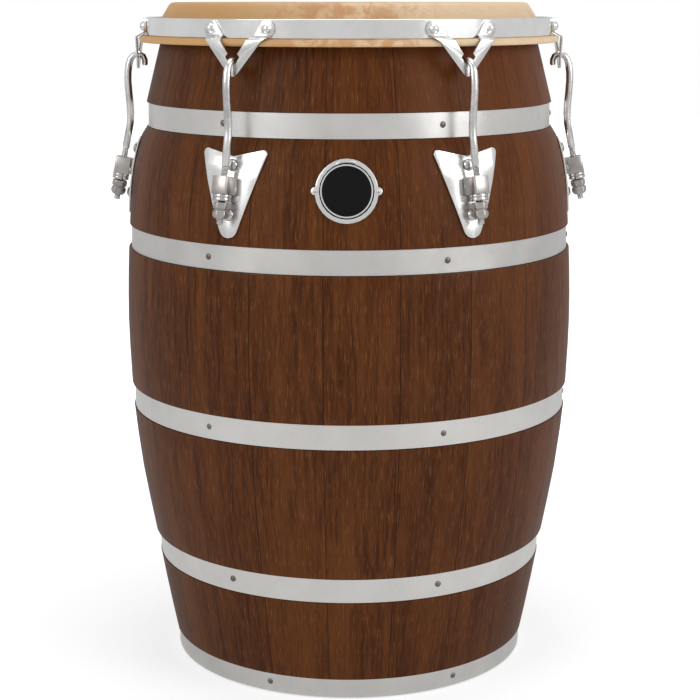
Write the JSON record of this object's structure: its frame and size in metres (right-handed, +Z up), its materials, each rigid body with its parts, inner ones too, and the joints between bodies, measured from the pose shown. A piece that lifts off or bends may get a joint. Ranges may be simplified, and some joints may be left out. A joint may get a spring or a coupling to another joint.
{
  "type": "bomba drum",
  "caption": "Barrel-shaped staved hand drum with flat steel hoops, a rawhide head, an outer rim and hooked tension lugs.",
  "frame": {"origin": "centre of the open foot of the shell", "axes": "+Z up along the shell's axis to the head, badge facing -Y"},
  "size_m": [0.52, 0.4844, 0.711],
  "materials": {
    "stained_wood": "satin stained",
    "rawhide": "dry rawhide",
    "satin_steel": "satin",
    "cast_steel": "satin cast",
    "polished_steel": "polished",
    "black_enamel": "gloss enamel"
  },
  "bodies": {
    "shell": {"barrel_shell": "stained_wood", "drumhead": "rawhide", "hoop_1": "satin_steel", "hoop_2": "satin_steel", "hoop_3": "satin_steel", "hoop_4": "satin_steel", "hoop_5": "satin_steel", "badge_ring": "polished_steel", "badge_disc": "black_enamel", "side_plate_1": "polished_steel", "washers_1": "polished_steel", "upper_bolt_1": "polished_steel", "lower_bolt_1": "polished_steel", "lug_block_1": "cast_steel", "side_plate_2": "polished_steel", "washers_2": "polished_steel", "upper_bolt_2": "polished_steel", "lower_bolt_2": "polished_steel", "lug_block_2": "cast_steel", "side_plate_3": "polished_steel", "washers_3": "polished_steel", "upper_bolt_3": "polished_steel", "lower_bolt_3": "polished_steel", "lug_block_3": "cast_steel", "side_plate_4": "polished_steel", "washers_4": "polished_steel", "upper_bolt_4": "polished_steel", "lower_bolt_4": "polished_steel", "lug_block_4": "cast_steel", "side_plate_5": "polished_steel", "washers_5": "polished_steel", "upper_bolt_5": "polished_steel", "lower_bolt_5": "polished_steel", "lug_block_5": "cast_steel", "side_plate_6": "polished_steel", "washers_6": "polished_steel", "upper_bolt_6": "polished_steel", "lower_bolt_6": "polished_steel", "lug_block_6": "cast_steel"},
    "rim": {"rim_band": "polished_steel", "flesh_hoop": "cast_steel", "skin_roll": "rawhide", "rim_bracket_1": "polished_steel", "rim_bracket_2": "polished_steel", "rim_bracket_3": "polished_steel", "rim_bracket_4": "polished_steel", "rim_bracket_5": "polished_steel", "rim_bracket_6": "polished_steel"},
    "rod_1": {"tuning_rod_1": "polished_steel"},
    "nut_1": {"tuning_nut_1": "cast_steel"},
    "rod_2": {"tuning_rod_2": "polished_steel"},
    "nut_2": {"tuning_nut_2": "cast_steel"},
    "rod_3": {"tuning_rod_3": "polished_steel"},
    "nut_3": {"tuning_nut_3": "cast_steel"},
    "rod_4": {"tuning_rod_4": "polished_steel"},
    "nut_4": {"tuning_nut_4": "cast_steel"},
    "rod_5": {"tuning_rod_5": "polished_steel"},
    "nut_5": {"tuning_nut_5": "cast_steel"},
    "rod_6": {"tuning_rod_6": "polished_steel"},
    "nut_6": {"tuning_nut_6": "cast_steel"}
  },
  "joints": [
    {"name": "rim_slide", "type": "slide", "parent": "shell", "child": "rim", "axis": [0, 0, 1], "range_m": [-0.006, 0.003]},
    {"name": "rod_1_slide", "type": "slide", "parent": "shell", "child": "rod_1", "axis": [0.0985, 0.1733, 0.9799], "range_m": [-0.0062, 0.0031]},
    {"name": "nut_1_turn", "type": "hinge", "parent": "shell", "child": "nut_1", "pos_m": [-0.12398, -0.21825, 0.514], "axis": [0.0985, 0.1733, 0.9799], "range_deg": [-1760, 880]},
    {"name": "rod_2_slide", "type": "slide", "parent": "shell", "child": "rod_2", "axis": [-0.1009, 0.172, 0.9799], "range_m": [-0.0062, 0.0031]},
    {"name": "nut_2_turn", "type": "hinge", "parent": "shell", "child": "nut_2", "pos_m": [0.12702, -0.2165, 0.514], "axis": [-0.1009, 0.172, 0.9799], "range_deg": [-1760, 880]},
    {"name": "rod_3_slide", "type": "slide", "parent": "shell", "child": "rod_3", "axis": [-0.1994, -0.0014, 0.9799], "range_m": [-0.0062, 0.0031]},
    {"name": "nut_3_turn", "type": "hinge", "parent": "shell", "child": "nut_3", "pos_m": [0.251, 0.00175, 0.514], "axis": [-0.1994, -0.0014, 0.9799], "range_deg": [-1760, 880]},
    {"name": "rod_4_slide", "type": "slide", "parent": "shell", "child": "rod_4", "axis": [-0.0985, -0.1733, 0.9799], "range_m": [-0.0062, 0.0031]},
    {"name": "nut_4_turn", "type": "hinge", "parent": "shell", "child": "nut_4", "pos_m": [0.12398, 0.21825, 0.514], "axis": [-0.0985, -0.1733, 0.9799], "range_deg": [-1760, 880]},
    {"name": "rod_5_slide", "type": "slide", "parent": "shell", "child": "rod_5", "axis": [0.1009, -0.172, 0.9799], "range_m": [-0.0062, 0.0031]},
    {"name": "nut_5_turn", "type": "hinge", "parent": "shell", "child": "nut_5", "pos_m": [-0.12702, 0.2165, 0.514], "axis": [0.1009, -0.172, 0.9799], "range_deg": [-1760, 880]},
    {"name": "rod_6_slide", "type": "slide", "parent": "shell", "child": "rod_6", "axis": [0.1994, 0.0014, 0.9799], "range_m": [-0.0062, 0.0031]},
    {"name": "nut_6_turn", "type": "hinge", "parent": "shell", "child": "nut_6", "pos_m": [-0.251, -0.00175, 0.514], "axis": [0.1994, 0.0014, 0.9799], "range_deg": [-1760, 880]}
  ],
  "couplings": [
    {"joint": "rod_1_slide", "follows": "rim_slide", "ratio": 1.0205},
    {"joint": "nut_1_turn", "follows": "rim_slide", "rad_per_m": 5048.8},
    {"joint": "rod_2_slide", "follows": "rim_slide", "ratio": 1.0205},
    {"joint": "nut_2_turn", "follows": "rim_slide", "rad_per_m": 5048.8},
    {"joint": "rod_3_slide", "follows": "rim_slide", "ratio": 1.0205},
    {"joint": "nut_3_turn", "follows": "rim_slide", "rad_per_m": 5048.8},
    {"joint": "rod_4_slide", "follows": "rim_slide", "ratio": 1.0205},
    {"joint": "nut_4_turn", "follows": "rim_slide", "rad_per_m": 5048.8},
    {"joint": "rod_5_slide", "follows": "rim_slide", "ratio": 1.0205},
    {"joint": "nut_5_turn", "follows": "rim_slide", "rad_per_m": 5048.8},
    {"joint": "rod_6_slide", "follows": "rim_slide", "ratio": 1.0205},
    {"joint": "nut_6_turn", "follows": "rim_slide", "rad_per_m": 5048.8}
  ]
}
